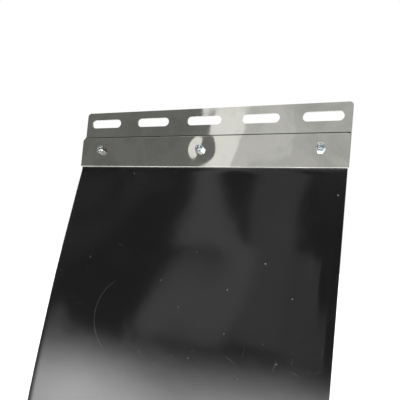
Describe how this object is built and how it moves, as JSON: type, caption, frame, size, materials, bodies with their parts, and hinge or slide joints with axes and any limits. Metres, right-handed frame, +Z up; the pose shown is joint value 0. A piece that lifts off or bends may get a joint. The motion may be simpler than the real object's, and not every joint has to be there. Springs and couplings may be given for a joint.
{
  "type": "mud flap",
  "caption": "Flexible glossy black sheet bolted between a slotted polished steel hanger plate and a narrower steel clamp strip, to hang behind a wheel.",
  "frame": {"origin": "middle of the row of hanger slots, on the back plate's rear face, which lies against the bracket", "axes": "+Z up, +X along the plate to the right seen from the front, front of the flap towards -Y"},
  "size_m": [0.3, 0.0723, 0.4247],
  "materials": {
    "polished_steel": "mirror-polished stainless steel sheet with fine rubbing marks",
    "black_sheet": "glossy black flexible sheet with light scuffs",
    "zinc_plated_steel": "bright bluish zinc plating"
  },
  "bodies": {
    "hanger": {"back_plate": "polished_steel", "front_strip": "polished_steel", "flap_clamped_edge": "black_sheet", "bolt_left": "zinc_plated_steel", "bolt_centre": "zinc_plated_steel", "bolt_right": "zinc_plated_steel", "nut_left": "zinc_plated_steel", "nut_centre": "zinc_plated_steel", "nut_right": "zinc_plated_steel", "washer_left": "zinc_plated_steel", "washer_centre": "zinc_plated_steel", "washer_right": "zinc_plated_steel"},
    "flap_1": {"flap_band_1": "black_sheet"},
    "flap_2": {"flap_band_2": "black_sheet"},
    "flap_3": {"flap_band_3": "black_sheet"},
    "flap_4": {"flap_band_4": "black_sheet"},
    "flap_5": {"flap_band_5": "black_sheet"},
    "flap_6": {"flap_band_6": "black_sheet"}
  },
  "joints": [
    {"name": "flap_bend_1", "type": "hinge", "parent": "hanger", "child": "flap_1", "pos_m": [0, -0.00327, -0.05609], "axis": [1, 0, 0], "range_deg": [-15, 15], "stiffness_Nm_per_rad": 0.5, "springref_deg": -15.47},
    {"name": "flap_bend_2", "type": "hinge", "parent": "flap_1", "child": "flap_2", "pos_m": [0, -0.017, -0.11449], "axis": [1, 0, 0], "range_deg": [-15, 15], "stiffness_Nm_per_rad": 0.5, "springref_deg": -9.99},
    {"name": "flap_bend_3", "type": "hinge", "parent": "flap_2", "child": "flap_3", "pos_m": [0, -0.02957, -0.17316], "axis": [1, 0, 0], "range_deg": [-15, 15], "stiffness_Nm_per_rad": 0.5, "springref_deg": -5.87},
    {"name": "flap_bend_4", "type": "hinge", "parent": "flap_3", "child": "flap_4", "pos_m": [0, -0.04078, -0.2321], "axis": [1, 0, 0], "range_deg": [-15, 15], "stiffness_Nm_per_rad": 0.5, "springref_deg": -3.01},
    {"name": "flap_bend_5", "type": "hinge", "parent": "flap_4", "child": "flap_5", "pos_m": [0, -0.05062, -0.29128], "axis": [1, 0, 0], "range_deg": [-15, 15], "stiffness_Nm_per_rad": 0.5, "springref_deg": -1.21},
    {"name": "flap_bend_6", "type": "hinge", "parent": "flap_5", "child": "flap_6", "pos_m": [0, -0.0591, -0.35068], "axis": [1, 0, 0], "range_deg": [-15, 15], "stiffness_Nm_per_rad": 0.5, "springref_deg": -0.28}
  ]
}
